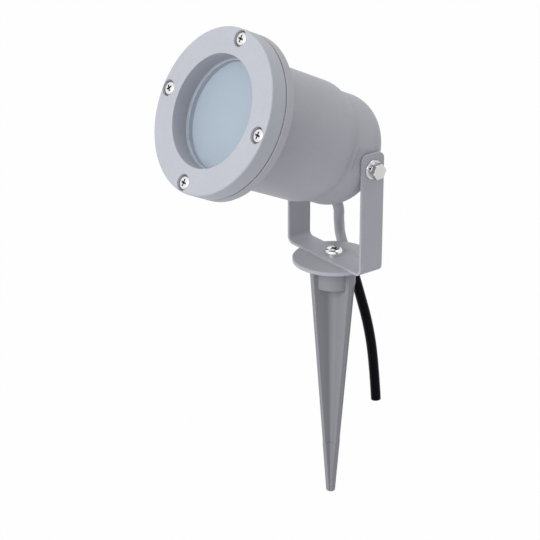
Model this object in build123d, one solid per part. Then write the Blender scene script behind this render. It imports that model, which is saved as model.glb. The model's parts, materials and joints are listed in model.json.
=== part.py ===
from build123d import *
import math
import os

# Garden spike spotlight: a die-cast head that tilts in a strap bracket, which turns on a ground spike.
# Sizes are in millimetres and degrees. The origin is the centre of the spike flange's underside,
# which is the ground line. +Z is up, X is the tilt axis and the head faces -Y.

# Head, measured back along its own axis from the bezel's face. The axis passes above the tilt bolts,
# and the screws stand a little off the upright, clockwise seen from the front.
rest_tilt = 25.4
head_length = 105.0
pivot_setback = 93.0
axis_rise = 2.0
bezel_diameter = 90.0
bezel_thickness = 10.0
bezel_edge_round = 1.0
opening_edge_round = 0.4
screw_edge_distance = 5.0
screw_count = 4
screw_pattern_turn = -3.0
screw_head_turns = [0, 0, 45, 0]
bezel_screw_thread = 4.0
bezel_screw_length = 11.0
bezel_screw_head = 8.0
bezel_screw_head_height = 2.9
bezel_screw_sink = 0.5
counterbore_clearance = 0.5
gasket_thickness = 0.8
gasket_setback = 0.9
housing_flange_thickness = 5.2
flange_edge_round = 0.8
flange_foot_round = 1.2
barrel_draft = 0.8
barrel_length = 76.0
shoulder_run = 4.7
shoulder_step = 2.5
shoulder_round = 14.0
shoulder_foot_round = 1.8
rear_diameter = 62.4
back_round = 16.0
wall = 2.8
side_flat_depth = 0.95
side_flat_reach = 13.0
side_flat_run_out = 8.0

# Glass and its seal. The bezel laps over the glass, and the barrel has a wall outside the glass's pocket.
lens_diameter = 63.0
lens_overlap = 1.0
lens_thickness = 6.0
lens_clearance = 0.2
lens_edge_chamfer = 0.6
seal_thickness = 0.8
seal_width = 2.2

# Lamp and lamp holder
lamp_gap = 1.0
lamp_diameter = 50.0
lamp_length = 48.0
lamp_rim_depth = 4.0
lamp_waist_diameter = 27.0
lamp_base_diameter = 22.0
lamp_base_length = 16.0
lamp_rim_width = 3.0
lamp_lens_thickness = 2.0
lamp_edge_round = 1.0
lamp_rim_step = 1.5
pin_spacing = 10.0
pin_diameter = 3.2
pin_head_diameter = 5.0
pin_head_length = 2.5
pin_length = 7.0
pin_edge_round = 0.6
holder_diameter = 32.0
holder_height = 14.0
holder_edge_round = 0.6
holder_socket_spare = 1.0
contact_wall = 0.5
contact_clearance = 0.2
holder_strap_width = 12.0
holder_strap_thickness = 1.2
holder_strap_corner = 2.4
holder_strap_margin = 3.0
holder_screw_spacing = 24.0

# Small screws of one size inside the head
small_thread = 3.0
small_head = 5.6
small_head_height = 2.2
small_screw_bite = 6.0
thread_clearance = 0.05
hole_clearance = 0.2

# Form of every screw head: the crown's rounding as a share of its height, and the cross recess,
# whose span and slot are shares of the head's diameter and narrow towards its floor
crown_share = 0.55
recess_span = 0.52
recess_slot = 0.12
recess_floor_span = 0.45
recess_floor_slot = 0.7
recess_depth = 0.6

# How far a cutter runs past the face that it cuts, and past the mouth of a recess
overcut = 1.0
recess_overcut = 0.1

# Tilt joint: bolts, washers and the bosses they screw into
tilt_thread = 5.0
tilt_bolt_grip = 8.0
tilt_bolt_flats = 8.0
tilt_bolt_head_height = 3.5
tilt_bolt_chamfer = 0.4
tilt_boss_diameter = 14.6
tilt_boss_depth = 10.0
pillar_margin = 1.0
flat_washer_diameter = 11.0
flat_washer_thickness = 1.0
spring_washer_diameter = 8.6
spring_washer_thickness = 1.2
spring_washer_slit = 1.0
spring_washer_slit_turn = 30.0
friction_washer_diameter = 11.0
friction_washer_thickness = 0.5

# Strap bracket
strap_width = 15.0
strap_thickness = 1.5
strap_bend = 3.0
pivot_height = 61.4
arm_top = 9.0
arm_corner = 4.0

# Ground spike and the swivel screw
spike_flange_diameter = 46.4
spike_flange_thickness = 2.2
spike_flange_round = 0.6
spike_length = 147.0
rib_reach = 16.2
rib_thickness = 3.0
tip_reach = 2.2
tip_rib_thickness = 2.2
tip_round = 2.0
flute_step = 114.0
flute_step_height = 0.25
flute_fullness = 0.32
spike_boss_diameter = 15.5
spike_boss_length = 15.4
spike_boss_round = 1.0
insert_diameter = 8.0
insert_length = 12.0
swivel_thread = 5.0
swivel_screw_length = 14.0
swivel_head = 9.8
swivel_head_height = 3.6

# Cord entry low on the back of the head, its rubber bush and clamp
entry_angle = 56.0
cord_diameter = 6.0
bush_clearance = 0.05
bush_neck_diameter = 9.4
bush_lip_diameter = 12.4
bush_lip_thickness = 1.2
bush_lip_round = 0.5
bush_mouth_round = 0.3
entry_boss_depth = 5.0
entry_boss_rim = 1.8
clamp_length = 24.0
clamp_depth = 7.0
clamp_thickness = 2.5
clamp_screw_spacing = 16.0
clamp_screw_bite = 7.0
clamp_from_entry = 12.5
sheath_inside = 18.5
core_diameter = 1.9
core_circle = 2.7

# Terminal block on the inside of the back wall
terminal_width = 20.0
terminal_depth = 15.0
terminal_height = 13.0
terminal_rise = 10.0
terminal_pad_width = 9.5
terminal_pad_depth = 10.0
terminal_pad_height = 2.9
terminal_pitch = 10.6
terminal_bore = 3.2
terminal_groove_width = 5.8
terminal_groove_depth = 4.3
terminal_fixing_bite = 2.7
terminal_screw_setback = 3.5
terminal_screw_sink = 1.5
terminal_slot_width = 0.6
terminal_slot_depth = 0.7

# Earth point on the inside of the back wall
earth_from_side = 14.7
earth_above_entry = 17.15
earth_boss_diameter = 8.0
earth_boss_height = 8.0
earth_screw_head = 6.8
earth_screw_bite = 4.0
earth_tag_diameter = 7.0
earth_tag_thickness = 0.8
earth_tag_reach = 8.0

# Wiring inside the head: straight runs at the ends of the cores and leads, and their bends
core_rise = 3.6
core_spread = 0.8
core_crest_drop = 1.2
core_end_run = 4.0
core_bends = [1.6, 2.0, 2.0]
earth_core_rise = 2.6
earth_core_swing = (8.5, -2.5, 0)
earth_core_end_run = 3.2
earth_core_bends = [1.2, 2.0, 1.4]
lead_offset = 3.5
lead_rise = 3.2
lead_crest_drop = 4.7
lead_crest_reach = 3.0
lead_end_run = 5.0
lead_bends = [1.4, 1.8, 1.6]

# Route of the cord outside the head, from the tilt axis, after its first run out of the bush
first_run = 6.0
cord_route = [
    (-1.9, 5.0, -35.0),
    (-7.2, 9.2, -42.2),
    (-14.6, 15.8, -50.5),
    (-21.8, 22.2, -59.6),
    (-24.2, 27.0, -69.4),
    (-22.8, 31.0, -79.0),
    (-21.0, 36.0, -97.5),
    (-19.0, 42.8, -122.4),
    (-17.8, 46.6, -147.5),
    (-17.0, 48.2, -172.2),
]
sleeve_points = 6
sleeve_end_share = 0.5
arc_share = 0.45

# Stations along the head's axis, measured forward from the tilt axis
face_z = pivot_setback
bezel_back_z = face_z - bezel_thickness
flange_front_z = bezel_back_z - gasket_thickness
flange_back_z = flange_front_z - housing_flange_thickness
lens_back_z = flange_front_z - lens_thickness
seat_z = lens_back_z - seal_thickness
shoulder_z = face_z - barrel_length
back_z = face_z - head_length
floor_z = back_z + wall
lamp_front_z = lens_back_z - lamp_gap
lamp_back_z = lamp_front_z - lamp_length
holder_back_z = lamp_back_z - holder_height
strap_back_z = holder_back_z - holder_strap_thickness

# Radii and places that several pieces share
pocket_r = lens_diameter / 2 + lens_clearance
rear_r = rear_diameter / 2
shoulder_top_z = shoulder_z + shoulder_run
barrel_taper = (flange_back_z - shoulder_top_z) * math.tan(math.radians(barrel_draft))
barrel_r = max(pocket_r + wall, rear_r + shoulder_step + barrel_taper)
shoulder_r = barrel_r - barrel_taper
bezel_r = bezel_diameter / 2
opening_r = lens_diameter / 2 - lens_overlap
screw_circle_r = bezel_r - screw_edge_distance
bezel_screw_places = PolarLocations(screw_circle_r, screw_count, screw_pattern_turn)
seat_r = lens_diameter / 2 - seal_width
cup_r = lamp_diameter / 2 - lamp_rim_width
cup_z = lamp_front_z - lamp_lens_thickness
pad_x = rear_r - side_flat_depth
tilt_axis = Pos(0, -axis_rise, 0)
arm_x = pad_x + friction_washer_thickness
arm_outside_x = arm_x + strap_thickness
base_z = spike_flange_thickness
pivot_z = base_z + pivot_height
pillar_x = pad_x - tilt_boss_depth + pillar_margin + small_head / 2
cord_r = cord_diameter / 2
small_hole_r = small_thread / 2 + thread_clearance
head_seat_z = face_z - bezel_screw_sink - bezel_screw_head_height
terminal_z = (floor_z + terminal_pad_height, floor_z + terminal_pad_height + terminal_height)
terminal_y = (terminal_rise - terminal_depth / 2, terminal_rise + terminal_depth / 2)
terminal_entry_z = sum(terminal_z) / 2
terminal_groove_z = terminal_z[1] - terminal_groove_depth
terminal_screw_rows = (terminal_y[0] + terminal_screw_setback, terminal_y[1] - terminal_screw_setback)
earth_tag_z = floor_z + earth_boss_height

head_axis = (0, -math.cos(math.radians(rest_tilt)), math.sin(math.radians(rest_tilt)))
tilt_frame = Plane(origin=(0, 0, pivot_z), x_dir=(1, 0, 0), z_dir=head_axis)
head_frame = Plane(tilt_frame.location * Pos(0, axis_rise, 0))

# The cord entry's own frame: z points out of the head, square to the rounded lower back.
# The earth point keeps its distance from the head's side and from the entry.
entry_radial = math.cos(math.radians(entry_angle))
entry_axial = math.sin(math.radians(entry_angle))
entry_origin = (
    0,
    -(rear_r - back_round + back_round * entry_radial),
    back_z + back_round - back_round * entry_axial,
)
entry_frame = Plane(origin=entry_origin, x_dir=(1, 0, 0), z_dir=(0, -entry_radial, -entry_axial))
earth_x = rear_r - earth_from_side
earth_y = entry_origin[1] + earth_above_entry


def on_head(shape):
    """Place a shape drawn in the head's frame."""
    return head_frame.location * shape


def turned(*corners):
    """Turn a closed outline of (radius, z, rounding) corners about Z."""
    points = [corner[:2] for corner in corners]
    roundings = [corner[2] if len(corner) > 2 else 0 for corner in corners]
    outline = FilletPolyline(*points, radius=roundings, close=True)
    return revolve(Plane.XZ * make_face(outline), Axis.Z)


def ring(outer_r, inner_r, low_z, high_z):
    """Plain ring about Z."""
    return turned((inner_r, low_z), (outer_r, low_z), (outer_r, high_z), (inner_r, high_z))


def rod(radius, low_z, high_z):
    """Plain round bar about Z."""
    return turned((0, low_z), (radius, low_z), (radius, high_z), (0, high_z))


def block(x_size, y_range, z_range):
    """Box centred on X = 0 between two Y and two Z values."""
    y_size = y_range[1] - y_range[0]
    z_size = z_range[1] - z_range[0]
    centre = (0, sum(y_range) / 2, sum(z_range) / 2)
    return Pos(*centre) * Box(x_size, y_size, z_size)


def group(solids):
    """Several separate solids kept together as one node."""
    return Compound([solid for shape in solids for solid in shape.solids()])


def cross_recess(head_diameter, depth):
    """Tapered cross-shaped recess, with its mouth just above z = 0."""
    span = recess_span * head_diameter
    slot = recess_slot * head_diameter
    arm = loft([
        Pos(0, 0, recess_overcut) * Rectangle(span, slot),
        Pos(0, 0, -depth) * Rectangle(recess_floor_span * span, recess_floor_slot * slot),
    ])
    return arm + Rot(0, 0, 90) * arm


def pan_screw(thread, length, head_diameter, head_height):
    """Cross-recessed pan head screw: the head stands on z = 0 and the shank points down."""
    screw = turned(
        (0, -length),
        (thread / 2, -length),
        (thread / 2, 0),
        (head_diameter / 2, 0),
        (head_diameter / 2, head_height, crown_share * head_height),
        (0, head_height),
    )
    recess = cross_recess(head_diameter, recess_depth * head_height)
    return screw - Pos(0, 0, head_height) * recess


def wire(points, diameter, bend):
    """Round wire along straight runs with rounded corners."""
    path = FilletPolyline(*points, radius=bend)
    section = Plane(origin=path @ 0, z_dir=path % 0) * Circle(diameter / 2)
    return sweep(section, path=path)


def head_outside():
    """Outer form of the housing: flange, barrel, rounded shoulder, rear part and round back.

    The rear part has flat sides where the bracket's arms swing, which run out before the shoulder.
    """
    form = turned(
        (0, back_z),
        (rear_r, back_z, back_round),
        (rear_r, shoulder_z, shoulder_foot_round),
        (shoulder_r, shoulder_top_z, shoulder_round),
        (barrel_r, flange_back_z, flange_foot_round),
        (bezel_r, flange_back_z, flange_edge_round),
        (bezel_r, flange_front_z, flange_edge_round / 2),
        (0, flange_front_z),
    )
    side_flat = Polyline(
        (pad_x, back_z - overcut),
        (pad_x, side_flat_reach),
        (barrel_r, side_flat_reach + side_flat_run_out),
        (barrel_r, back_z - overcut),
        close=True,
    )
    cut = extrude(Plane.XZ * make_face(side_flat), barrel_r, both=True)
    for side in both_sides(cut):
        form -= side
    return form


def head_cavity():
    """Hollow of the housing: lens pocket, seal seat, lamp chamber and wiring chamber."""
    chamber_r = min(shoulder_r - wall, seat_r)
    return turned(
        (0, floor_z),
        (rear_r - wall, floor_z, back_round - wall),
        (rear_r - wall, shoulder_z),
        (chamber_r, shoulder_top_z + wall),
        (chamber_r, seat_z),
        (pocket_r, seat_z),
        (pocket_r, flange_front_z),
        (0, flange_front_z),
    )


def both_sides(shape):
    """A shape on the +X side of the head and its twin, turned half round, on the -X side."""
    return [shape, Rot(0, 0, 180) * shape]


def at_tilt_axis(shape):
    """A piece of the tilt joint drawn about X, and its twin, moved from the head's axis to the tilt axis."""
    return [tilt_axis * side for side in both_sides(shape)]


def both_sides_of_entry(shape):
    """A shape beside the cord and its mirror image on the other side."""
    return [shape, mirror(shape, Plane.YZ)]


def make_housing():
    outside = head_outside()
    cast = outside - head_cavity()
    # Bosses, pillars, the cord's ledge and the terminal block's pad
    tilt_boss = Plane.YZ.offset(pad_x) * rod(tilt_boss_diameter / 2, -tilt_boss_depth, 0)
    tilt_hole = rod(tilt_thread / 2 + thread_clearance, -tilt_bolt_grip - overcut, overcut)
    tilt_hole = Plane.YZ.offset(pad_x) * tilt_hole
    pillar = Pos(pillar_x, 0, 0) * rod(small_head / 2, 0, strap_back_z)
    entry_boss = rod(bush_lip_diameter / 2 + entry_boss_rim, -entry_boss_depth, back_round)
    ledge_end = clamp_from_entry + clamp_depth / 2
    ledge_start = entry_boss_depth + bush_lip_thickness + hole_clearance
    ledge = block(clamp_length, (-cord_r - back_round, -cord_r), (-ledge_end, -ledge_start))
    pad_y = (terminal_rise - terminal_pad_depth / 2, terminal_rise + terminal_pad_depth / 2)
    terminal_pad = block(terminal_pad_width, pad_y, (back_z, terminal_z[0]))
    earth_boss = Pos(earth_x, earth_y, 0) * rod(earth_boss_diameter / 2, back_z, earth_tag_z)
    cast += at_tilt_axis(tilt_boss)
    cast += both_sides(pillar)
    at_entry = [entry_frame.location * part for part in (entry_boss, ledge)]
    cast += [part & outside for part in at_entry + [terminal_pad, earth_boss]]
    # Threaded holes
    cast -= at_tilt_axis(tilt_hole)
    cast -= both_sides(Pos(pillar_x, 0, strap_back_z) * rod(small_hole_r, -small_screw_bite, overcut))
    bezel_hole_r = bezel_screw_thread / 2 + thread_clearance
    bezel_hole = rod(bezel_hole_r, flange_back_z - overcut, flange_front_z + overcut)
    cast -= bezel_screw_places * bezel_hole
    terminal_hole = rod(small_hole_r, -terminal_fixing_bite, overcut)
    cast -= Pos(0, terminal_rise, terminal_z[0]) * terminal_hole
    earth_hole = rod(bezel_hole_r, -earth_screw_bite - overcut, overcut)
    cast -= Pos(earth_x, earth_y, earth_tag_z) * earth_hole
    clamp_hole = Rot(90, 0, 0) * rod(small_hole_r, 0, clamp_screw_bite + cord_r + overcut)
    clamp_hole = Pos(clamp_screw_spacing / 2, 0, -clamp_from_entry) * clamp_hole
    cast -= both_sides_of_entry(entry_frame.location * clamp_hole)
    # Cord entry: spot face for the bush's lip, and the hole for its neck
    spot_face = rod(bush_lip_diameter / 2 + bush_clearance, -bush_lip_thickness, back_round)
    neck_hole = rod(bush_neck_diameter / 2 + bush_clearance, -entry_boss_depth - overcut, 0)
    cast -= entry_frame.location * spot_face
    return cast - entry_frame.location * neck_hole


def make_bezel():
    bezel = turned(
        (opening_r, bezel_back_z),
        (bezel_r, bezel_back_z, bezel_edge_round / 2),
        (bezel_r, face_z, bezel_edge_round),
        (opening_r, face_z, opening_edge_round),
    )
    counterbore = rod(bezel_screw_head / 2 + counterbore_clearance, head_seat_z, face_z + overcut)
    hole = rod(bezel_screw_thread / 2 + hole_clearance, bezel_back_z - overcut, face_z)
    return bezel - bezel_screw_places * (counterbore + hole)


def make_bezel_screws():
    screw = pan_screw(bezel_screw_thread, bezel_screw_length, bezel_screw_head, bezel_screw_head_height)
    turns = zip(bezel_screw_places, screw_head_turns)
    return group(Pos(0, 0, head_seat_z) * place * Rot(0, 0, turn) * screw for place, turn in turns)


def make_gasket():
    """One flat ring that seals the bezel against both the flange and the glass."""
    flat = ring(bezel_r - gasket_setback, opening_r, flange_front_z, bezel_back_z)
    hole_r = bezel_screw_thread / 2 + hole_clearance
    hole = rod(hole_r, flange_front_z - overcut, bezel_back_z + overcut)
    return flat - bezel_screw_places * hole


def make_lens():
    lens_r = lens_diameter / 2
    return turned(
        (0, lens_back_z),
        (lens_r, lens_back_z),
        (lens_r, flange_front_z - lens_edge_chamfer),
        (lens_r - lens_edge_chamfer, flange_front_z),
        (0, flange_front_z),
    )


def make_lens_seal():
    return ring(lens_diameter / 2, seat_r, seat_z, lens_back_z)


def make_lamp_body():
    """Reflector lamp: front rim, flared reflector and two-pin base."""
    rim_r = lamp_diameter / 2
    return turned(
        (0, lamp_back_z),
        (lamp_base_diameter / 2, lamp_back_z, lamp_edge_round),
        (lamp_base_diameter / 2, lamp_back_z + lamp_base_length),
        (lamp_waist_diameter / 2, lamp_back_z + lamp_base_length, lamp_edge_round),
        (rim_r - lamp_rim_step, lamp_front_z - lamp_rim_depth),
        (rim_r, lamp_front_z - lamp_rim_depth),
        (rim_r, lamp_front_z, lamp_edge_round),
        (cup_r, lamp_front_z),
        (cup_r, cup_z),
        (0, cup_z),
    )


def make_lamp_lens():
    return rod(cup_r - thread_clearance, cup_z, lamp_front_z)


def make_lamp_pins():
    pin = turned(
        (0, lamp_back_z - pin_length),
        (pin_head_diameter / 2, lamp_back_z - pin_length, pin_edge_round),
        (pin_head_diameter / 2, lamp_back_z - pin_length + pin_head_length),
        (pin_diameter / 2, lamp_back_z - pin_length + pin_head_length),
        (pin_diameter / 2, lamp_back_z),
        (0, lamp_back_z),
    )
    return group(both_sides(Pos(pin_spacing / 2, 0, 0) * pin))


def contact_radii():
    inner = pin_head_diameter / 2 + contact_clearance
    return inner + contact_wall, inner


def make_lamp_holder():
    """Ceramic holder with two pin sockets and two sunk screw holes."""
    body = turned(
        (0, holder_back_z),
        (holder_diameter / 2, holder_back_z, holder_edge_round),
        (holder_diameter / 2, lamp_back_z, holder_edge_round),
        (0, lamp_back_z),
    )
    socket_depth = pin_length + holder_socket_spare
    socket = Pos(pin_spacing / 2, 0, lamp_back_z) * rod(contact_radii()[0], -socket_depth, overcut)
    screw_seat_z = holder_back_z + holder_height / 2
    screw_hole = Pos(holder_screw_spacing / 2, 0, 0) * (
        rod(small_thread / 2 + hole_clearance, holder_back_z - overcut, lamp_back_z)
        + rod(small_head / 2 + hole_clearance, screw_seat_z, lamp_back_z + overcut)
    )
    for place in both_sides(socket) + both_sides(screw_hole):
        body -= place
    return body


def make_holder_contacts():
    outer, inner = contact_radii()
    sleeve = ring(outer, inner, -pin_length - holder_socket_spare, -holder_socket_spare)
    return group(both_sides(Pos(pin_spacing / 2, 0, lamp_back_z) * sleeve))


def make_holder_screws():
    length = holder_height / 2 + holder_strap_thickness
    screw = pan_screw(small_thread, length, small_head, small_head_height)
    seat = Pos(holder_screw_spacing / 2, 0, holder_back_z + holder_height / 2)
    return group(both_sides(seat * screw))


def make_holder_strap():
    """Sheet strap that carries the lamp holder on the two pillars."""
    length = 2 * (pillar_x + holder_strap_margin)
    outline = RectangleRounded(length, holder_strap_width, holder_strap_corner)
    plate = extrude(Pos(0, 0, strap_back_z) * outline, holder_strap_thickness)
    hole = rod(small_thread / 2 + hole_clearance, strap_back_z - overcut, holder_back_z + overcut)
    for x in (pillar_x, holder_screw_spacing / 2):
        for place in both_sides(Pos(x, 0, 0) * hole):
            plate -= place
    return plate


def make_strap_screws():
    length = holder_strap_thickness + small_screw_bite - overcut
    screw = pan_screw(small_thread, length, small_head, small_head_height)
    return group(both_sides(Pos(pillar_x, 0, holder_back_z) * screw))


def make_tilt_bolts():
    stack = friction_washer_thickness + strap_thickness + flat_washer_thickness + spring_washer_thickness
    hexagon = RegularPolygon(tilt_bolt_flats / 2, 6, major_radius=False)
    corner_r = max(vertex.center().length for vertex in hexagon.vertices())
    hexagon = extrude(hexagon, tilt_bolt_head_height)
    crown = turned(
        (0, 0),
        (corner_r, 0),
        (corner_r, tilt_bolt_head_height - tilt_bolt_chamfer),
        (tilt_bolt_flats / 2 - tilt_bolt_chamfer / 4, tilt_bolt_head_height),
        (0, tilt_bolt_head_height),
    )
    bolt = (hexagon & crown) + rod(tilt_thread / 2, -stack - tilt_bolt_grip, 0)
    return group(at_tilt_axis(Plane.YZ.offset(pad_x + stack) * bolt))


def tilt_washer(diameter, thickness, inner_face_x):
    """Washer on the +X bolt, from its inner face outwards."""
    washer = ring(diameter / 2, tilt_thread / 2 + hole_clearance, 0, thickness)
    return Plane.YZ.offset(inner_face_x) * washer


def make_flat_washers():
    return group(at_tilt_axis(tilt_washer(flat_washer_diameter, flat_washer_thickness, arm_outside_x)))


def make_spring_washers():
    inner_face_x = arm_outside_x + flat_washer_thickness
    washer = tilt_washer(spring_washer_diameter, spring_washer_thickness, inner_face_x)
    slit = Box(2 * spring_washer_thickness, spring_washer_slit, spring_washer_diameter)
    slit_place = Pos(inner_face_x + spring_washer_thickness / 2, 0, spring_washer_diameter / 2)
    washer -= slit_place * Rot(spring_washer_slit_turn, 0, 0) * slit
    return group(at_tilt_axis(washer))


def make_friction_washers():
    return group(at_tilt_axis(tilt_washer(friction_washer_diameter, friction_washer_thickness, pad_x)))


def make_bracket():
    """Flat strap bent into a U, with rounded arm ends and three holes."""
    top_z = pivot_z + arm_top
    outer_bend = strap_bend + strap_thickness
    outer = FilletPolyline(
        (-arm_outside_x, top_z),
        (-arm_outside_x, base_z),
        (arm_outside_x, base_z),
        (arm_outside_x, top_z),
        radius=outer_bend,
    )
    inner = FilletPolyline(
        (-arm_x, top_z),
        (-arm_x, base_z + strap_thickness),
        (arm_x, base_z + strap_thickness),
        (arm_x, top_z),
        radius=strap_bend,
    )
    ends = [Line(outer @ 0, inner @ 0), Line(outer @ 1, inner @ 1)]
    outline = make_face(Curve() + [outer, inner] + ends)
    strap = extrude(Plane.XZ * outline, strap_width / 2, both=True)
    corners = strap.edges().filter_by(Axis.X).group_by(Axis.Z)[-1]
    strap = fillet(corners, arm_corner)
    arm_hole = Plane.YZ * rod(tilt_thread / 2 + hole_clearance, -2 * arm_x, 2 * arm_x)
    base_top_z = base_z + strap_thickness
    base_hole = rod(swivel_thread / 2 + hole_clearance, base_z - overcut, base_top_z + overcut)
    return strap - Pos(0, 0, pivot_z) * arm_hole - base_hole


def rib_reach_at(depth):
    """Distance of the ribs' edges from the axis, at a depth below the flange."""
    return rib_reach + (tip_reach - rib_reach) * depth / spike_length


def rib_thickness_at(depth):
    """Thickness of the ribs at a depth below the flange."""
    return rib_thickness + (tip_rib_thickness - rib_thickness) * depth / spike_length


def flute(top_depth, bottom_depth, step):
    """Tapering cutter between two neighbouring ribs with a round root, set back from them by a step."""
    sections = []
    for depth in (top_depth, bottom_depth):
        side = rib_thickness_at(depth) / 2 + step
        outside = 2 * rib_reach_at(depth)
        root = flute_fullness * (rib_reach_at(depth) - side)
        corners = [(side, side), (outside, side), (outside, outside), (side, outside)]
        outline = FilletPolyline(*corners, radius=[root, 0, 0, 0], close=True)
        sections.append(Pos(0, 0, -depth) * make_face(outline))
    return loft(sections)


def make_spike():
    """Moulded spike: flange, screw boss and four tapering ribs that end in a blunt tip."""
    ribs = loft([
        Rectangle(2 * rib_reach, 2 * rib_reach),
        Pos(0, 0, -spike_length) * Rectangle(2 * tip_reach, 2 * tip_reach),
    ])
    past_tip = spike_length + tip_round
    for turn in range(4):
        quarter = Rot(0, 0, 90 * turn)
        ribs -= quarter * flute(-spike_flange_thickness, flute_step, 0)
        ribs -= quarter * flute(flute_step - tip_round, past_tip, flute_step_height)
    nose = turned(
        (0, -spike_length),
        (tip_reach + tip_round / 4, -spike_length, tip_round),
        (2 * rib_reach, 0),
        (0, 0),
    )
    ribs &= nose
    flange_r = spike_flange_diameter / 2
    flange = turned(
        (0, 0),
        (flange_r, 0, spike_flange_round / 2),
        (flange_r, spike_flange_thickness, spike_flange_round),
        (0, spike_flange_thickness),
    )
    boss = turned(
        (0, -spike_boss_length),
        (spike_boss_diameter / 2, -spike_boss_length, spike_boss_round),
        (spike_boss_diameter / 2, 0),
        (0, 0),
    )
    spike = flange + boss + ribs
    insert_r = insert_diameter / 2 + thread_clearance
    insert_hole = rod(insert_r, base_z - insert_length, base_z + overcut)
    screw_room = rod(swivel_thread / 2 + hole_clearance, base_z - swivel_screw_length, base_z)
    return spike - insert_hole - screw_room


def make_insert():
    """Threaded brass insert moulded into the spike's boss, flush with the flange."""
    bore_r = swivel_thread / 2 + thread_clearance
    return ring(insert_diameter / 2, bore_r, base_z - insert_length, base_z)


def make_swivel_screw():
    seat_z = base_z + strap_thickness
    screw = pan_screw(swivel_thread, swivel_screw_length, swivel_head, swivel_head_height)
    return Pos(0, 0, seat_z) * screw


def make_bush():
    """Rubber bush in the cord entry, with a lip in the spot face and one inside the boss."""
    bore_r = cord_r + bush_clearance
    bush = turned(
        (bore_r, -entry_boss_depth - bush_lip_thickness),
        (bush_lip_diameter / 2, -entry_boss_depth - bush_lip_thickness, bush_lip_round),
        (bush_lip_diameter / 2, -entry_boss_depth),
        (bush_neck_diameter / 2, -entry_boss_depth),
        (bush_neck_diameter / 2, -bush_lip_thickness),
        (bush_lip_diameter / 2, -bush_lip_thickness),
        (bush_lip_diameter / 2, 0, bush_lip_round),
        (bore_r, 0, bush_mouth_round),
    )
    return entry_frame.location * bush


def make_clamp():
    """Bar that presses the cord on the cast ledge."""
    bar = block(
        clamp_length,
        (cord_r, cord_r + clamp_thickness),
        (-clamp_from_entry - clamp_depth / 2, -clamp_from_entry + clamp_depth / 2),
    )
    hole = Rot(90, 0, 0) * rod(small_thread / 2 + hole_clearance, -2 * cord_diameter, 0)
    hole = Pos(clamp_screw_spacing / 2, 0, -clamp_from_entry) * hole
    for place in both_sides_of_entry(hole):
        bar -= place
    return entry_frame.location * bar


def make_clamp_screws():
    length = clamp_thickness + cord_diameter + clamp_screw_bite
    screw = Rot(-90, 0, 0) * pan_screw(small_thread, length, small_head, small_head_height)
    screw = Pos(clamp_screw_spacing / 2, cord_r + clamp_thickness, -clamp_from_entry) * screw
    return group(entry_frame.location * place for place in both_sides_of_entry(screw))


def make_sheath():
    """Cord sheath inside the head, from the bush's mouth past the clamp."""
    return entry_frame.location * rod(cord_r, -sheath_inside, 0)


def core_start(angle):
    """Centre of one core on the end face of the sheath."""
    x = core_circle / 2 * math.cos(math.radians(angle))
    y = core_circle / 2 * math.sin(math.radians(angle))
    return entry_frame.location * Pos(x, y, -sheath_inside)


def make_core(side, angle):
    """Mains core from the sheath's end to the lower side of the terminal block."""
    start = core_start(angle).position
    entry = Vector(side * terminal_pitch / 2, terminal_y[0], terminal_entry_z)
    rise = start - entry_frame.z_dir * core_rise
    crest = Vector(entry.X * core_spread, (start.Y + entry.Y) / 2, rise.Z - core_crest_drop)
    points = [start, rise, crest, entry - Vector(0, core_end_run, 0), entry]
    return wire(points, core_diameter, core_bends)


def make_earth_core():
    """Earth core from the sheath's end to the crimped tag."""
    start = core_start(90).position
    rise = start - entry_frame.z_dir * earth_core_rise
    swing = rise + Vector(*earth_core_swing)
    end = Vector(earth_x, earth_y - earth_tag_reach, earth_tag_z + core_diameter / 2)
    points = [start, rise, swing, end - Vector(0, earth_core_end_run, 0), end]
    return wire(points, core_diameter, earth_core_bends)


def make_earth_tag():
    """Ring tag under the earth screw, with a crimp barrel that takes the core."""
    tag_r = earth_tag_diameter / 2
    eye = ring(tag_r, bezel_screw_thread / 2 + hole_clearance, 0, earth_tag_thickness)
    boss_r = earth_boss_diameter / 2
    barrel = Rot(90, 0, 0) * rod(core_diameter / 2, 0, earth_tag_reach - boss_r)
    barrel = Pos(0, -boss_r, core_diameter / 2) * barrel
    neck = block(core_diameter, (-boss_r, overcut - boss_r), (0, earth_tag_thickness))
    return Pos(earth_x, earth_y, earth_tag_z) * (eye + barrel + neck)


def make_earth_screw():
    length = earth_tag_thickness + earth_screw_bite
    screw = pan_screw(bezel_screw_thread, length, earth_screw_head, small_head_height)
    return Pos(earth_x, earth_y, earth_tag_z + earth_tag_thickness) * screw


def terminal_places():
    """Places of the four clamping screws, two to each pole."""
    return [Pos(x, y, 0) for x in (-terminal_pitch / 2, terminal_pitch / 2) for y in terminal_screw_rows]


def make_terminal_block():
    """Two-pole screw terminal block with a fixing hole in the groove between its poles."""
    body = block(terminal_width, terminal_y, terminal_z)
    body -= block(terminal_groove_width, terminal_y, (terminal_groove_z, terminal_z[1] + overcut))
    fixing_r = small_thread / 2 + hole_clearance
    body -= Pos(0, terminal_rise, 0) * rod(fixing_r, terminal_z[0] - overcut, terminal_z[1])
    well = rod(terminal_bore / 2, terminal_entry_z + core_diameter, terminal_z[1] + overcut)
    for place in terminal_places():
        body -= place * well
    return body


def make_terminal_screws():
    """Four clamping screws with a slotted top, sunk in their wells."""
    top_z = terminal_z[1] - terminal_screw_sink
    screw = rod(terminal_bore / 2 - thread_clearance, terminal_entry_z + core_diameter, top_z)
    screw -= Pos(0, 0, top_z) * Box(terminal_bore, terminal_slot_width, 2 * terminal_slot_depth)
    return group(place * screw for place in terminal_places())


def make_terminal_fixing():
    length = terminal_groove_z - terminal_z[0] + terminal_fixing_bite
    screw = pan_screw(small_thread, length, small_head, small_head_height)
    return Pos(0, terminal_rise, terminal_groove_z) * screw


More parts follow.
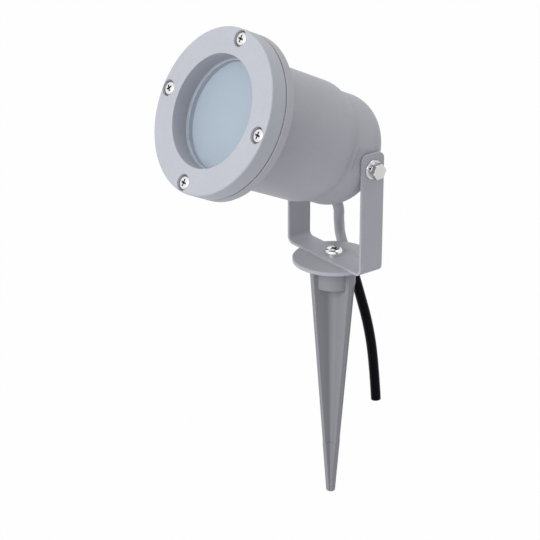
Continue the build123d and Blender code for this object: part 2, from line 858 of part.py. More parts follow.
def make_holder_leads():
    """Sleeved leads from the back of the holder round to the upper side of the terminal block."""
    leads = []
    for side in (-1, 1):
        start = Vector(side * pin_spacing / 2, holder_strap_width / 2 + lead_offset, holder_back_z)
        entry = Vector(side * terminal_pitch / 2, terminal_y[1], terminal_entry_z)
        points = [
            start,
            start - Vector(0, 0, lead_rise),
            Vector(start.X, entry.Y + lead_crest_reach, start.Z - lead_crest_drop),
            entry + Vector(0, lead_end_run, 0),
            entry,
        ]
        leads.append(wire(points, core_diameter, lead_bends))
    return group(leads)


def cord_points():
    """Route of the cord outside the head: straight out of the bush, then the hand-set points."""
    mouth = head_frame.location * entry_frame.location
    start = mouth.position
    out = (mouth * Pos(0, 0, first_run)).position
    return [start, out] + [Vector(*point) + Vector(0, 0, pivot_z) for point in cord_route]


def corner_radii(points):
    """Largest arcs that the runs on either side of each corner allow."""
    radii = []
    for before, corner, after in zip(points, points[1:], points[2:]):
        run = min((corner - before).length, (after - corner).length)
        turn = (corner - before).get_angle(after - corner)
        radii.append(arc_share * run / math.tan(math.radians(turn / 2)))
    return radii


def make_cord():
    """The cord's sleeved upper stretch and its bare lower stretch, which meet face to face."""
    points = cord_points()
    radii = corner_radii(points)
    print("cord bend radii", [round(radius, 1) for radius in radii])
    cut = points[sleeve_points] + (points[sleeve_points + 1] - points[sleeve_points]) * sleeve_end_share
    stretches = [
        (points[: sleeve_points + 1] + [cut], radii[:sleeve_points]),
        ([cut] + points[sleeve_points + 1 :], radii[sleeve_points:]),
    ]
    solids = []
    for route, bends in stretches:
        solid = wire(route, cord_diameter, bends)
        length = FilletPolyline(*route, radius=bends).length
        share = solid.volume / (math.pi * cord_r**2 * length)
        print("cord stretch", round(length, 1), "mm, volume over section x length", round(share, 4))
        solids.append(solid)
    return solids


head_pieces = {
    "head_housing": make_housing,
    "front_bezel": make_bezel,
    "bezel_screws": make_bezel_screws,
    "bezel_gasket": make_gasket,
    "lens_glass": make_lens,
    "lens_seal": make_lens_seal,
    "lamp_body": make_lamp_body,
    "lamp_lens": make_lamp_lens,
    "lamp_pins": make_lamp_pins,
    "lamp_holder": make_lamp_holder,
    "holder_contacts": make_holder_contacts,
    "holder_screws": make_holder_screws,
    "holder_strap": make_holder_strap,
    "strap_screws": make_strap_screws,
    "tilt_bolts": make_tilt_bolts,
    "tilt_flat_washers": make_flat_washers,
    "tilt_spring_washers": make_spring_washers,
    "tilt_friction_washers": make_friction_washers,
    "cord_bush": make_bush,
    "cord_clamp": make_clamp,
    "clamp_screws": make_clamp_screws,
    "cord_sheath_end": make_sheath,
    "core_live": lambda: make_core(-1, 210),
    "core_neutral": lambda: make_core(1, 330),
    "core_earth": make_earth_core,
    "earth_tag": make_earth_tag,
    "earth_screw": make_earth_screw,
    "terminal_block": make_terminal_block,
    "terminal_screws": make_terminal_screws,
    "terminal_fixing": make_terminal_fixing,
    "holder_leads": make_holder_leads,
}

fixed_pieces = {
    "u_bracket": make_bracket,
    "ground_spike": make_spike,
    "swivel_insert": make_insert,
    "swivel_screw": make_swivel_screw,
}

os.makedirs("parts", exist_ok=True)
for node, make in head_pieces.items():
    export_step(on_head(make()), f"parts/{node}.step")
for node, make in fixed_pieces.items():
    export_step(make(), f"parts/{node}.step")
for node, solid in zip(("cord_upper", "cord_lower"), make_cord()):
    export_step(solid, f"parts/{node}.step")
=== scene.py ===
import json
import math
import bmesh
import bpy
from mathutils import Matrix, Vector


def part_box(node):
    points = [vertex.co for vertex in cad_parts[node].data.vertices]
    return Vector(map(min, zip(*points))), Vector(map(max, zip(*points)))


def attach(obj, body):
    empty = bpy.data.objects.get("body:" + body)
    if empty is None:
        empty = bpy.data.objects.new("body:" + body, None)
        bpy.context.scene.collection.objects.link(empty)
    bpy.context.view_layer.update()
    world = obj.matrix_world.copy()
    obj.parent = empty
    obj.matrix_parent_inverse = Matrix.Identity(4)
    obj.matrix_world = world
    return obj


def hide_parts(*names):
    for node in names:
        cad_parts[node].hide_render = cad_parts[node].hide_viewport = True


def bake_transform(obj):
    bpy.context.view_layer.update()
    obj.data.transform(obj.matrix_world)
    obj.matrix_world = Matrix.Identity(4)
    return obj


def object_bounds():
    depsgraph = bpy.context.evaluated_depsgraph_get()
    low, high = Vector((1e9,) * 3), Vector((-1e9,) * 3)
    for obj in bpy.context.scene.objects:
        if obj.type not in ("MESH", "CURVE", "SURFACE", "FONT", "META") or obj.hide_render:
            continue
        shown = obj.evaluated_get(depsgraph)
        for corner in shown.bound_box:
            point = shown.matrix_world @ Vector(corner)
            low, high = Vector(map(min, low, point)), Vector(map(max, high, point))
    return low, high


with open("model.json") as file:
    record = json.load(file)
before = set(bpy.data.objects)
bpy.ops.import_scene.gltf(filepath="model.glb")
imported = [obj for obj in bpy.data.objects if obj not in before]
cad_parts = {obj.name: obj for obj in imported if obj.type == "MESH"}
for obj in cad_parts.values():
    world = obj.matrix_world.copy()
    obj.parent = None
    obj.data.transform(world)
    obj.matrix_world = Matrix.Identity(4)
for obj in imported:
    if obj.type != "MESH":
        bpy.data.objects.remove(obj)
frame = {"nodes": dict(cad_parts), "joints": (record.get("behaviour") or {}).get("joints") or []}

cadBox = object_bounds()
nodes = frame["nodes"]
print("frame:", len(nodes), "nodes")

mm = 0.001  # sizes in the dictionaries are in mm, unless a note says metres
white = (1.0, 1.0, 1.0, 1.0)


def srgb(red, green, blue):  # 0 to 255 as a picture shows it, to the linear colour that a shader takes
    def linear(value):
        share = value / 255
        return share / 12.92 if share <= 0.04045 else ((share + 0.055) / 1.055) ** 2.4
    return (linear(red), linear(green), linear(blue), 1.0)


def shade(colour, factor):
    return tuple(min(1.0, channel * factor) for channel in colour[:3]) + (1.0,)


def middle(node):
    low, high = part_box(node)
    return (low + high) / 2


# The head's own frame: z out through the glass along the axis of the round pieces, x along the tilt axis
tiltJoint = next(joint for joint in frame["joints"] if joint["name"] == "tilt")
pivot = Vector(tiltJoint["pos_m"])
headForward = (middle("bezel_gasket") - middle("lamp_holder")).normalized()
headRight = Vector((1, 0, 0))
headUp = headForward.cross(headRight)
headFrame = Matrix((headRight, headUp, headForward)).transposed().to_4x4()
headFrame.translation = middle("lamp_holder")


def headPoints(node):  # a node's vertices in the head's own frame
    toHead = headFrame.inverted()
    return [toHead @ vertex.co for vertex in nodes[node].data.vertices]


def boreRadius(node):  # radius of a ring's bore about the head's axis
    return min(point.xy.length for point in headPoints(node))


# Shader graphs: Wire wraps one output socket, so that sums on it add Math nodes
class Wire:
    def __init__(self, graph, socket):
        self.graph = graph
        self.socket = socket

    def maths(self, operation, first, second):
        return self.graph.node("ShaderNodeMath", {"operation": operation}, {0: first, 1: second})

    def atLeast(self, other):
        return self.maths("MAXIMUM", self, other)

    def __add__(self, other):
        return self.maths("ADD", self, other)

    def __radd__(self, other):
        return self.maths("ADD", other, self)

    def __sub__(self, other):
        return self.maths("SUBTRACT", self, other)

    def __rsub__(self, other):
        return self.maths("SUBTRACT", other, self)

    def __mul__(self, other):
        return self.maths("MULTIPLY", self, other)

    def __rmul__(self, other):
        return self.maths("MULTIPLY", other, self)


class Graph:
    def __init__(self, tree):
        self.tree = tree
        self.tree.nodes.clear()

    def node(self, kind, settings, sockets, out=0):
        made = self.tree.nodes.new(kind)
        for name, value in settings.items():
            setattr(made, name, value)
        for name, value in sockets.items():
            if isinstance(value, Wire):
                self.tree.links.new(value.socket, made.inputs[name])
            else:
                made.inputs[name].default_value = value
        return Wire(self, made.outputs[out]) if made.outputs else made

    def objectPlace(self):
        return self.node("ShaderNodeTexCoord", {}, {}, "Object")

    def noise(self, scale, place, detail=2.0, roughness=0.5):
        sockets = {"Scale": scale, "Vector": place, "Detail": detail, "Roughness": roughness}
        return self.node("ShaderNodeTexNoise", {}, sockets, "Fac")

    def mix(self, factor, first, second):  # sockets 6 and 7 and output 2 are the node's colours
        settings = {"data_type": "RGBA"}
        return self.node("ShaderNodeMix", settings, {0: factor, 6: first, 7: second}, 2)

    def vary(self, factor, colour, tones):  # between a darker and a lighter shade of one colour
        return self.mix(factor, *(shade(colour, tone) for tone in tones))

    def bump(self, height, strength, depth):
        sockets = {"Height": height, "Strength": strength, "Distance": depth * mm}
        return self.node("ShaderNodeBump", {}, sockets)

    def hollows(self, reach, alone=True):  # 1 on open faces, less in recesses and inner corners: the mask for painted shade
        settings = {"samples": 8, "only_local": alone}
        return self.node("ShaderNodeAmbientOcclusion", settings, {"Distance": reach * mm}, "AO")

    def withPaintedHollowShade(self, look, colour):  # the colour on open faces, and painted shade that darkens it in recesses
        dark = shade(look["colour"], look["paintedHollowShade"])
        return self.mix(self.hollows(look["hollowReach"]), dark, colour)

    def vector(self, operation, *values, out=0):
        settings = {"operation": operation}
        return self.node("ShaderNodeVectorMath", settings, dict(enumerate(values)), out)

    def headRadius(self, place):  # distance from the axis of the head's round pieces
        fromAxis = self.vector("SUBTRACT", place, headFrame.translation)
        across = self.vector("CROSS_PRODUCT", fromAxis, headForward)
        return self.vector("LENGTH", across, out="Value")

    def ramp(self, value, low, high):  # 0 up to low, 1 from high on
        return self.node("ShaderNodeMapRange", {}, {"Value": value, "From Min": low, "From Max": high})

    def surface(self, sockets):
        shader = self.node("ShaderNodeBsdfPrincipled", {}, sockets)
        self.node("ShaderNodeOutputMaterial", {}, {"Surface": shader})


def newFinish(name):
    material = bpy.data.materials.new(name)
    material.use_nodes = True
    return material, Graph(material.node_tree)


def scatter(value, noise, width):  # a value that a noise from 0 to 1 moves evenly to both sides
    return value + (noise - 0.5) * width


def skinSurface(graph, look, colour, skin):  # a surface whose fine skin shows in its gloss and its bumps
    graph.surface({
        "Base Color": colour,
        "Roughness": scatter(look["roughness"], skin, look["roughnessSpread"]),
        "Specular IOR Level": look["specular"],
        "Normal": graph.bump(skin, look["bump"], look["skinDepth"]),
    })


def paintedBoreShadeMask(graph, place, look):  # the mask for painted shade in a ring's bore: 1 outside it, less on the bore's wall towards its bottom
    edge = look["boreRadius"] + look["boreEdge"] * mm
    outside = graph.ramp(graph.headRadius(place), look["boreRadius"], edge)
    return graph.hollows(look["boreReach"], alone=False).atLeast(outside)


def powderCoat(name, look):  # satin powder paint with a fine orange peel, and painted shade in its recesses
    material, graph = newFinish(name)
    place = graph.objectPlace()
    cloud = graph.noise(look["cloudScale"], place, detail=3, roughness=0.6)
    peel = graph.noise(look["peelScale"], place)
    grain = graph.noise(look["grainScale"], place, roughness=0.6)
    tone = cloud * look["cloudShare"] + peel * look["peelShare"] + grain * look["grainShare"]
    # painted shade: darker in recesses and inner corners
    colour = graph.withPaintedHollowShade(look, graph.vary(tone, look["colour"], look["tones"]))
    if "boreRadius" in look:
        # painted shade on the wall of the bezel's bore
        colour = graph.mix(paintedBoreShadeMask(graph, place, look), shade(look["colour"], look["paintedBoreShade"]), colour)
    height = peel * look["peelHeight"] + grain * look["grainHeight"]
    graph.surface({
        "Base Color": colour,
        "Roughness": scatter(look["roughness"], grain, look["roughnessSpread"]),
        "Specular IOR Level": look["specular"],
        "Normal": graph.bump(height, look["bump"], look["peelDepth"]),
    })
    return material


def brightMetal(name, look):  # plated steel or brass with faint smears, and painted shade that makes it black deep in its recesses
    material, graph = newFinish(name)
    place = graph.objectPlace()
    smear = graph.noise(look["smearScale"], place, detail=3, roughness=0.6)
    grain = graph.noise(look["grainScale"], place)
    bright = graph.vary(smear, look["colour"], look["tones"])
    # painted shade: black where the occlusion is deep
    recessShadeMask = graph.ramp(graph.hollows(look["hollowReach"]), look["hollowDark"], look["hollowBright"])
    graph.surface({
        "Base Color": graph.mix(recessShadeMask, shade(look["colour"], look["paintedHollowShade"]), bright),
        "Metallic": 1.0,
        "Roughness": scatter(look["roughness"], smear, look["roughnessSpread"]),
        "Normal": graph.bump(grain, look["bump"], look["grainDepth"]),
    })
    return material


def moulded(name, look):  # rubber, plastic and ceramic: one colour with a fine skin, and painted shade in recesses
    material, graph = newFinish(name)
    place = graph.objectPlace()
    cloud = graph.noise(look["cloudScale"], place)
    skin = graph.noise(look["skinScale"], place, detail=3, roughness=0.6)
    colour = graph.vary((cloud + skin) * 0.5, look["colour"], look["tones"])
    # painted shade: darker in recesses
    skinSurface(graph, look, graph.withPaintedHollowShade(look, colour), skin)
    return material


def ribbedMoulding(name, look):  # the spike's plastic, with painted light and shade: a paler flange and darker ribs below it
    material, graph = newFinish(name)
    place = graph.objectPlace()
    cloud = graph.noise(look["cloudScale"], place)
    skin = graph.noise(look["skinScale"], place, detail=3, roughness=0.6)
    tone = (cloud + skin) * 0.5
    ribs = graph.vary(tone, look["ribShadeColour"], look["ribTones"])
    flange = graph.vary(tone, look["colour"], look["tones"])
    height = graph.node("ShaderNodeSeparateXYZ", {}, {"Vector": place}, "Z")
    # painted light and shade: the rib colour below ribsTop, the flange colour above
    skinSurface(graph, look, graph.mix(graph.ramp(height, look["ribsTop"] * mm, 0.0), ribs, flange), skin)
    return material


def paint(material, *names):
    for name in names:
        slots = nodes[name].data.materials
        slots.clear()
        slots.append(material)


# Painted metal: one paint on housing and bracket, a lighter copy on the bezel as painted light, painted
# shade in its bore
paintLook = {
    "colour": srgb(166, 166, 174), "tones": (0.86, 1.14), "roughness": 0.46, "roughnessSpread": 0.12,
    # painted shade within 4 mm of a recess
    "specular": 0.3, "hollowReach": 4.0, "paintedHollowShade": 0.6,
    "cloudScale": 55.0, "peelScale": 900.0, "grainScale": 3800.0,
    "cloudShare": 0.35, "peelShare": 0.45, "grainShare": 0.2,
    "peelHeight": 0.7, "grainHeight": 0.3, "peelDepth": 0.06, "bump": 0.18,
}
bezelLook = {
    # the lighter colour is painted light on the bezel's lamp-facing face
    **paintLook, "colour": srgb(169, 171, 179), "hollowReach": 1.0,
    # painted shade on the bore's wall, darker where the glass and the bore hide the light
    "boreRadius": boreRadius("front_bezel"), "boreEdge": 0.6, "boreReach": 16.0, "paintedBoreShade": 0.55,
}
paint(powderCoat("greyPowderCoat", paintLook), "head_housing", "u_bracket")
paint(powderCoat("bezelPowderCoat", bezelLook), "front_bezel")

# Spike: its flange painted paler as painted light, its ribs darker as painted shade
spikeLook = {
    "colour": srgb(166, 166, 173), "tones": (0.95, 1.05),
    "ribShadeColour": srgb(138, 138, 144), "ribTones": (0.92, 1.08), "ribsTop": -1.0,
    "roughness": 0.5, "roughnessSpread": 0.15, "specular": 0.25,
    "cloudScale": 30.0, "skinScale": 2400.0, "skinDepth": 0.05, "bump": 0.12,
}
spikePlastic = ribbedMoulding("spikePlastic", spikeLook)
paint(spikePlastic, "ground_spike")

# Fasteners, contacts and the lamp holder's strap
boltLook = {
    "colour": srgb(214, 213, 212), "tones": (0.9, 1.0), "roughness": 0.24, "roughnessSpread": 0.12,
    # painted shade in recesses: black below hollowDark, none above hollowBright
    "hollowReach": 1.2, "hollowDark": 0.5, "hollowBright": 0.8, "paintedHollowShade": 0.02,
    "smearScale": 260.0, "grainScale": 4000.0, "grainDepth": 0.02, "bump": 0.08,
}
screwLook = {
    **boltLook, "colour": srgb(240, 240, 238), "roughness": 0.2,
    "hollowReach": 1.3, "hollowDark": 0.62, "hollowBright": 0.86,
    "smearScale": 300.0, "grainScale": 5000.0, "bump": 0.06,
}
washerLook = {
    **boltLook, "colour": srgb(205, 205, 208), "roughness": 0.16, "hollowDark": 0.0, "hollowBright": 0.1,
}
brassLook = {
    **boltLook, "colour": srgb(206, 176, 106), "roughness": 0.28, "smearScale": 300.0, "bump": 0.06,
}
brightScrews = brightMetal("brightScrewPlating", screwLook)
greyWashers = brightMetal("greyWasherPlating", washerLook)
zincBolts = brightMetal("zincBoltPlating", boltLook)
brass = brightMetal("brass", brassLook)
paint(brightScrews, "bezel_screws", "swivel_screw")
paint(greyWashers, "tilt_spring_washers")
paint(
    zincBolts, "holder_screws", "holder_strap", "strap_screws", "clamp_screws", "earth_screw",
    "terminal_fixing",
)
paint(brass, "swivel_insert", "holder_contacts", "lamp_pins", "earth_tag", "terminal_screws")

# Rubber, plastics and ceramic
mouldedLook = {
    # painted shade within 2 mm of a recess
    "tones": (0.9, 1.1), "roughnessSpread": 0.15, "hollowReach": 2.0, "paintedHollowShade": 0.7,
    "cloudScale": 90.0, "skinScale": 2600.0, "skinDepth": 0.05, "bump": 0.12,
}
mouldedFinishes = {  # colour, roughness, specular level and nodes
    "paleSilicone": (srgb(196, 198, 204), 0.4, 0.4, ("bezel_gasket", "lens_seal")),
    "darkRubber": (srgb(52, 52, 58), 0.62, 0.3, ("cord_bush", "tilt_friction_washers")),
    "lampShell": (srgb(224, 224, 226), 0.3, 0.5, ("lamp_body",)),
    "lampFront": (srgb(228, 232, 238), 0.16, 0.5, ("lamp_lens",)),
    "holderCeramic": (srgb(232, 228, 216), 0.35, 0.5, ("lamp_holder",)),
    "terminalNylon": (srgb(228, 228, 222), 0.5, 0.4, ("terminal_block",)),
    "clampNylon": (srgb(60, 60, 63), 0.5, 0.4, ("cord_clamp",)),
    "sheathBlack": (srgb(26, 25, 29), 0.42, 0.45, ("cord_sheath_end",)),
    "coreBrown": (srgb(110, 66, 42), 0.38, 0.45, ("core_live",)),
    "coreBlue": (srgb(52, 98, 176), 0.38, 0.45, ("core_neutral",)),
    "coreEarth": (srgb(150, 186, 62), 0.38, 0.45, ("core_earth",)),
    "leadSleeve": (srgb(226, 224, 214), 0.8, 0.2, ("holder_leads",)),
}
for name, (colour, roughness, specular, members) in mouldedFinishes.items():
    look = {**mouldedLook, "colour": colour, "roughness": roughness, "specular": specular}
    paint(moulded(name, look), *members)
print("finishes: CAD nodes painted")


# Mesh helpers
def finished(name, mesh, material, smoothAngle=35):
    mesh.normal_update()
    data = bpy.data.meshes.new(name)
    mesh.to_mesh(data)
    mesh.free()
    data.materials.append(material)
    for polygon in data.polygons:
        polygon.use_smooth = True
    data.set_sharp_from_angle(angle=math.radians(smoothAngle))
    piece = bpy.data.objects.new(name, data)
    bpy.context.scene.collection.objects.link(piece)
    return piece


def spun(outline, steps):  # (radius, z) points turned once about Z, joined up unless they start on the axis
    mergeGap = 0.001 * mm
    mesh = bmesh.new()
    corners = [mesh.verts.new((radius, 0, z)) for radius, z in outline]
    pairs = list(zip(corners, corners[1:]))
    if outline[0][0] > 0:
        pairs.append((corners[-1], corners[0]))
    edges = [mesh.edges.new(pair) for pair in pairs]
    bmesh.ops.spin(
        mesh, geom=corners + edges, cent=(0, 0, 0), axis=(0, 0, 1), dvec=(0, 0, 0),
        angle=2 * math.pi, steps=steps, use_merge=True, use_duplicate=False,
    )
    bmesh.ops.remove_doubles(mesh, verts=mesh.verts, dist=mergeGap)
    bmesh.ops.recalc_face_normals(mesh, faces=mesh.faces)
    return mesh


def vertsIn(geometry):
    return [item for item in geometry if isinstance(item, bmesh.types.BMVert)]


# Glass, inside the solid that it replaces: clear skin and a pale rim as a painted highlight, over ground
# edge and frosted back
frostLook = {
    "tones": (0.97, 1.03), "roughnessSpread": 0.06, "specular": 0.1,
    "cloudScale": 28.0, "skinScale": 7000.0, "skinDepth": 0.01, "bump": 0.03,
}
glassLook = {
    "frostedFace": {**frostLook, "colour": srgb(154, 167, 179), "roughness": 0.75},
    "groundEdge": {**frostLook, "colour": srgb(150, 157, 172), "roughness": 0.45},
    # the rim's pale colour is a painted highlight along the glass's front edge
    "highlightRim": {**frostLook, "colour": srgb(196, 202, 214), "roughness": 0.2},
    "clearFace": {
        "colour": srgb(236, 242, 248), "alpha": 0.05,
        "roughness": 0.04, "smearRoughness": 0.04, "smearScale": 60.0,
    },
    "edgeChamfer": 0.6, "boreGap": 0.08, "frostDepth": 3.2, "skinThickness": 0.5, "rimThickness": 0.6,
    "chamfer": 0.3, "steps": 96,
}


def frostedGlass(name):
    look = glassLook[name]
    material, graph = newFinish(name)
    place = graph.objectPlace()
    cloud = graph.noise(look["cloudScale"], place)
    frost = graph.noise(look["skinScale"], place, roughness=0.6)
    skinSurface(graph, look, graph.vary(cloud, look["colour"], look["tones"]), frost)
    return material


def clearGlass(name):
    look = glassLook[name]
    material, graph = newFinish(name)
    smear = graph.noise(look["smearScale"], graph.objectPlace())
    graph.surface({
        "Base Color": look["colour"],
        "Roughness": look["roughness"] + smear * look["smearRoughness"],
        "Alpha": look["alpha"],
    })
    return material


def makeGlass():
    look = glassLook
    points = headPoints("lens_glass")
    back = min(point.z for point in points)
    front = max(point.z for point in points)
    outer = max(point.x for point in points)
    rim = boreRadius("front_bezel") - look["boreGap"] * mm
    inner = rim - look["rimThickness"] * mm
    edgeChamfer = look["edgeChamfer"] * mm
    chamfer = look["chamfer"] * mm
    skinBack = front - look["skinThickness"] * mm
    frostFront = front - look["frostDepth"] * mm
    frosted = [(0, back), (inner, back), (inner, frostFront), (0, frostFront)]
    ground = [
        (inner, back), (outer, back), (outer, front - edgeChamfer), (outer - edgeChamfer, front),
        (rim, front), (rim, skinBack), (inner, skinBack),
    ]
    polished = [
        (inner, skinBack), (rim, skinBack), (rim, front - chamfer), (rim - chamfer, front), (inner, front),
    ]
    clear = [(0, skinBack), (inner, skinBack), (inner, front), (0, front)]
    parts = [
        ("glassFrostedBack", frosted, frostedGlass("frostedFace")),
        ("glassGroundEdge", ground, frostedGlass("groundEdge")),
        ("glassHighlightRim", polished, frostedGlass("highlightRim")),
        ("glassFrontSkin", clear, clearGlass("clearFace")),
    ]
    for name, outline, material in parts:
        mesh = spun(outline, look["steps"])
        bmesh.ops.transform(mesh, matrix=headFrame, verts=mesh.verts)
        piece = finished(name, mesh, material)
        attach(piece, "head")
    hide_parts("lens_glass")


makeGlass()
print("glass: front skin, polished rim, ground edge and frosted back")


# Tilt bolts and flat washers, with their edges rounded
washerShape = {"round": 0.4, "steps": 64, "smoothAngle": 60}
boltShape = {"headRound": 0.35, "headSides": 6, "endReach": 0.35, "shankSteps": 32, "smoothAngle": 40}


def axleSpan(node):  # inner and outer face and least and greatest radius of the +X piece on the tilt axis
    points = [vertex.co for vertex in nodes[node].data.vertices if vertex.co.x > 0]
    radii = [(point.yz - pivot.yz).length for point in points]
    return min(point.x for point in points), max(point.x for point in points), min(radii), max(radii)


def onAxle(mesh):  # from a mesh about +Z to its place on the tilt axis, and its twin on the other side
    bmesh.ops.rotate(mesh, verts=mesh.verts, cent=(0, 0, 0), matrix=Matrix.Rotation(math.pi / 2, 3, "Y"))
    twin = bmesh.ops.duplicate(mesh, geom=mesh.verts[:] + mesh.edges[:] + mesh.faces[:])
    halfTurn = Matrix.Rotation(math.pi, 3, "Z")
    bmesh.ops.rotate(mesh, verts=vertsIn(twin["geom"]), cent=(0, 0, 0), matrix=halfTurn)
    bmesh.ops.translate(mesh, verts=mesh.verts, vec=(0, pivot.y, pivot.z))
    return mesh


def makeFlatWashers():
    near, far, bore, outer = axleSpan("tilt_flat_washers")
    edge = washerShape["round"] * mm
    outline = [
        (bore, near), (outer - edge, near), (outer, near + edge), (outer, far - edge), (outer - edge, far),
        (bore, far),
    ]
    mesh = onAxle(spun(outline, washerShape["steps"]))
    washers = finished("tiltFlatWashers", mesh, greyWashers, washerShape["smoothAngle"])
    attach(washers, "head")
    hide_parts("tilt_flat_washers")


def makeTiltBolts():
    look = boltShape
    end, top, _, corner = axleSpan("tilt_bolts")
    seat = axleSpan("tilt_spring_washers")[1]
    points = [vertex.co - pivot for vertex in nodes["tilt_bolts"].data.vertices if vertex.co.x > 0]
    shank = max(point.yz.length for point in points if point.x - end < look["endReach"] * mm)
    outmost = max(points, key=lambda point: point.yz.length)
    turn = Matrix.Rotation(math.atan2(outmost.z, outmost.y), 4, "Z")
    mesh = bmesh.new()
    bmesh.ops.create_circle(mesh, cap_ends=True, segments=look["headSides"], radius=corner, matrix=turn)
    raised = bmesh.ops.extrude_face_region(mesh, geom=mesh.faces[:])
    bmesh.ops.translate(mesh, verts=vertsIn(raised["geom"]), vec=(0, 0, top - seat))
    bmesh.ops.recalc_face_normals(mesh, faces=mesh.faces)
    bmesh.ops.bevel(
        mesh, geom=mesh.edges[:], offset=look["headRound"] * mm, affect="EDGES", segments=2, profile=0.5,
        material=-1,
    )
    bmesh.ops.translate(mesh, verts=mesh.verts, vec=(0, 0, seat))
    bmesh.ops.create_cone(
        mesh, cap_ends=True, segments=look["shankSteps"], radius1=shank, radius2=shank, depth=seat - end,
        matrix=Matrix.Translation((0, 0, (seat + end) / 2)),
    )
    bolts = finished("tiltBolts", onAxle(mesh), zincBolts, look["smoothAngle"])
    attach(bolts, "head")
    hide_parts("tilt_bolts")


makeFlatWashers()
makeTiltBolts()
print("tilt axis: two bolts and their flat washers")


# Collar round the spike's boss, between the ribs and under the flange
collarLook = {"radius": 12.4, "bore": 7.0, "depth": 14.3, "round": 1.0, "roundSteps": 4, "steps": 72}


def makeCollar():
    look = collarLook
    outline = [(look["bore"], 0), (look["bore"], -look["depth"])]
    for step in range(look["roundSteps"] + 1):
        angle = math.pi / 2 * step / look["roundSteps"]
        radius = look["radius"] - look["round"] * (1 - math.sin(angle))
        outline.append((radius, look["round"] * (1 - math.cos(angle)) - look["depth"]))
    outline.append((look["radius"], 0))
    mesh = spun([(radius * mm, z * mm) for radius, z in outline], look["steps"])
    collar = finished("spikeCollar", mesh, spikePlastic)
    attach(collar, "spike")


makeCollar()
print("spike: collar under the flange")


# Cord: one sheathed cable, with a grey sleeve over the stretch by the head
cordFinish = {
    "tones": (0.85, 1.2), "roughnessSpread": 0.2,
    "dustScale": 70.0, "skinScale": 900.0, "skinDepth": 0.05, "bump": 0.1,
}
cordLook = {
    "cordBlack": {**cordFinish, "colour": srgb(4, 4, 13), "roughness": 0.2, "specular": 0.06},
    "sleeveGrey": {**cordFinish, "colour": srgb(163, 163, 171), "roughness": 0.45, "specular": 0.3},
    "diameter": 6.0, "sleeveWall": 0.15, "sleeveEndZ": -10.6, "around": 20, "resolution": 16,
    "bendEnd": 5,  # the route's point where the bend at the tilt axis ends
    "route": [  # metres, from the bush's mouth to the cut end
        (0.0, -0.00113, 0.03962), (0.0, 0.00192, 0.03446), (-0.0019, 0.0050, 0.0286),
        (-0.0072, 0.0092, 0.0214), (-0.0146, 0.0158, 0.0131), (-0.0218, 0.0222, 0.0040),
        (-0.0242, 0.0270, -0.0058), (-0.0228, 0.0310, -0.0154), (-0.0210, 0.0360, -0.0339),
        (-0.0190, 0.0428, -0.0588), (-0.0178, 0.0466, -0.0839), (-0.0170, 0.0482, -0.1086),
    ],
}


def routeCurve(name, points, resolution):
    curve = bpy.data.curves.new(name, "CURVE")
    curve.dimensions = "3D"
    curve.resolution_u = resolution
    spline = curve.splines.new("NURBS")
    spline.points.add(len(points) - 1)
    for point, place in zip(spline.points, points):
        point.co = (*place, 1.0)
    spline.order_u = 3
    spline.use_endpoint_u = True
    return bpy.data.objects.new(name, curve)


def lineOf(curveObject):  # points along a curve, as its own mesh gives them
    bpy.context.scene.collection.objects.link(curveObject)
    bpy.context.view_layer.update()
    line = bpy.data.meshes.new_from_object(curveObject.evaluated_get(bpy.context.evaluated_depsgraph_get()))
    points = [vertex.co.copy() for vertex in line.vertices]
    bpy.data.meshes.remove(line)
    bpy.context.scene.collection.objects.unlink(curveObject)
    return points


def tubeAlong(points, radii, around):
    mesh = bmesh.new()
    last = len(points) - 1
    previous = None
    side = Vector((1, 0, 0))
    for index, place in enumerate(points):
        ahead = points[min(index + 1, last)] - points[max(index - 1, 0)]
        ahead.normalize()
        side = (side - ahead * side.dot(ahead)).normalized()
        turn = Matrix((side, ahead.cross(side), ahead)).transposed().to_4x4()
        turn.translation = place
        ring = bmesh.ops.create_circle(
            mesh, cap_ends=index in (0, last), segments=around, radius=radii[index], matrix=turn,
        )
        ringEdges = list({edge for vert in ring["verts"] for edge in vert.link_edges})
        if previous:
            bmesh.ops.bridge_loops(mesh, edges=previous + ringEdges)
        previous = ringEdges
    bmesh.ops.recalc_face_normals(mesh, faces=mesh.faces)
    return mesh


def cordSkin(name):  # smooth plastic with a little dust
    look = cordLook[name]
    material, graph = newFinish(name)
    place = graph.objectPlace()
    skin = graph.noise(look["skinScale"], place, detail=3, roughness=0.6)
    dust = graph.noise(look["dustScale"], place, detail=3, roughness=0.6)
    skinSurface(graph, look, graph.vary(dust, look["colour"], look["tones"]), skin)
    return material


def makeCord():
    look = cordLook
    line = lineOf(routeCurve("cordRoute", look["route"], look["resolution"]))
    radius = look["diameter"] / 2 * mm
    sleeveLine = [point for point in line if point.z > look["sleeveEndZ"] * mm]
    covered = len(sleeveLine) - 1  # rings of the cord that are thinner, inside the sleeve
    cordRadii = [radius - look["sleeveWall"] * mm] * covered + [radius] * (len(line) - covered)
    cordTube = tubeAlong(line, cordRadii, look["around"])
    cord = finished("cord", cordTube, cordSkin("cordBlack"))
    sleeveTube = tubeAlong(sleeveLine, [radius] * len(sleeveLine), look["around"])
    sleeve = finished("cordSleeve", sleeveTube, cordSkin("sleeveGrey"))
    for piece, slot in ((cord, "black_cord"), (sleeve, "grey_sleeve")):
        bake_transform(piece)
    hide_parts("cord_lower")
    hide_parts("cord_upper")
    look["diameter"] * mm


makeCord()


# Studio: white floor and world, a soft lamp in front of the glass and one overhead
studio = {  # metres and watts
    "floorSize": 6.0, "floorColour": srgb(215, 215, 218), "floorGlow": 0.97, "ambient": 0.64,
    "lamps": {
        "frontLamp": {"place": (0.21, -1.26, 0.64), "size": 0.9, "power": 12.8},
        "topLamp": {"place": (0.0, 0.3, 1.53), "size": 1.0, "power": 6.4},
    },
}


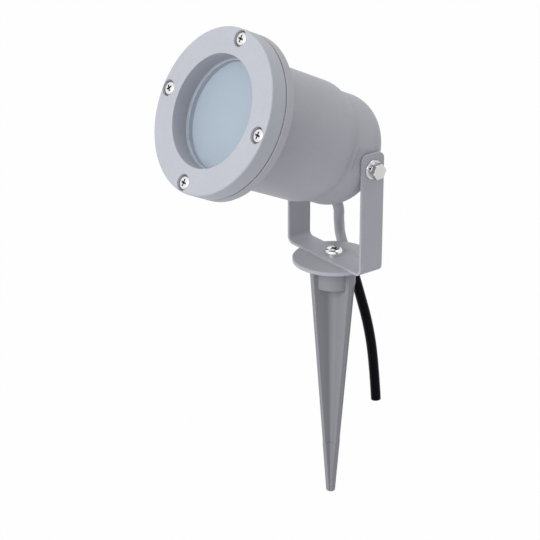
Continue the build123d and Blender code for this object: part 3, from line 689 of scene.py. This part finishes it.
def seenDirectly(graph):  # 1 for rays that show the background itself: camera, gloss and glass
    kinds = ["Is Camera Ray", "Is Glossy Ray", "Is Transmission Ray"]
    camera, gloss, glass = [graph.node("ShaderNodeLightPath", {}, {}, kind) for kind in kinds]
    settings = {"operation": "ADD", "use_clamp": True}
    return graph.node("ShaderNodeMath", settings, {0: camera + gloss, 1: glass})


def makeWorld():
    world = bpy.data.worlds.new("studioWorld")
    world.use_nodes = True
    bpy.context.scene.world = world
    graph = Graph(world.node_tree)
    strength = studio["ambient"] + seenDirectly(graph) * (1 - studio["ambient"])
    light = graph.node("ShaderNodeBackground", {}, {"Color": white, "Strength": strength})
    graph.node("ShaderNodeOutputWorld", {}, {"Surface": light})


def makeFloor():  # level with the spike's tip
    mesh = bmesh.new()
    bmesh.ops.create_grid(mesh, x_segments=1, y_segments=1, size=studio["floorSize"] / 2)
    bmesh.ops.translate(mesh, verts=mesh.verts, vec=(0, 0, cadBox[0][2]))
    material, graph = newFinish("studioFloor")
    matt = graph.node("ShaderNodeBsdfDiffuse", {}, {"Color": studio["floorColour"]})
    glow = graph.node("ShaderNodeEmission", {}, {"Color": white, "Strength": 1.0})
    share = seenDirectly(graph) * studio["floorGlow"]
    mixed = graph.node("ShaderNodeMixShader", {}, {0: share, 1: matt, 2: glow})
    graph.node("ShaderNodeOutputMaterial", {}, {"Surface": mixed})
    floor = finished("studioFloor", mesh, material)


def softLamp(name, look):
    lamp = bpy.data.lights.new(name, "AREA")
    lamp.shape = "DISK"
    lamp.size = look["size"]
    lamp.energy = look["power"]
    holder = bpy.data.objects.new(name, lamp)
    holder.location = look["place"]
    holder.rotation_euler = (pivot - Vector(look["place"])).to_track_quat("-Z", "Y").to_euler()
    holder.visible_camera = False
    bpy.context.scene.collection.objects.link(holder)


makeWorld()
makeFloor()
for name, look in studio["lamps"].items():
    softLamp(name, look)
print("studio: floor, world and two lamps")


# Camera: at the photograph's place, with its fitted axis, aimed at the middle of its frame
cameraLook = {
    "fromPivot": (800.3, -658.9, 378.7), "azimuth": 51.38, "elevation": 24.349,
    "toMiddle": (-0.01802, 0.01649),  # right and up from the fitted axis, as shares of the distance
    "focalPixels": 2014.8, "photoPixels": 540, "sensorWidth": 36.0,
    "clipStart": 0.05, "clipEnd": 50.0,  # metres
}


def makeCamera():
    look = cameraLook
    azimuth = math.radians(look["azimuth"])
    elevation = math.radians(look["elevation"])
    right = Vector((math.cos(azimuth), math.sin(azimuth), 0))
    level = math.cos(elevation)
    back = Vector((math.sin(azimuth) * level, -math.cos(azimuth) * level, math.sin(elevation)))
    up = back.cross(right)
    aim = right * look["toMiddle"][0] + up * look["toMiddle"][1] - back
    camera = bpy.data.cameras.new("photoCamera")
    camera.sensor_width = look["sensorWidth"]
    camera.lens = look["focalPixels"] / look["photoPixels"] * look["sensorWidth"]
    camera.clip_start = look["clipStart"]
    camera.clip_end = look["clipEnd"]
    holder = bpy.data.objects.new("photoCamera", camera)
    holder.location = pivot + Vector(look["fromPivot"]) * mm
    holder.rotation_euler = aim.to_track_quat("-Z", "Y").to_euler()
    bpy.context.scene.collection.objects.link(holder)
    bpy.context.scene.camera = holder


makeCamera()
bpy.context.scene.view_settings.view_transform = "Standard"
print("camera: at the photograph's place")
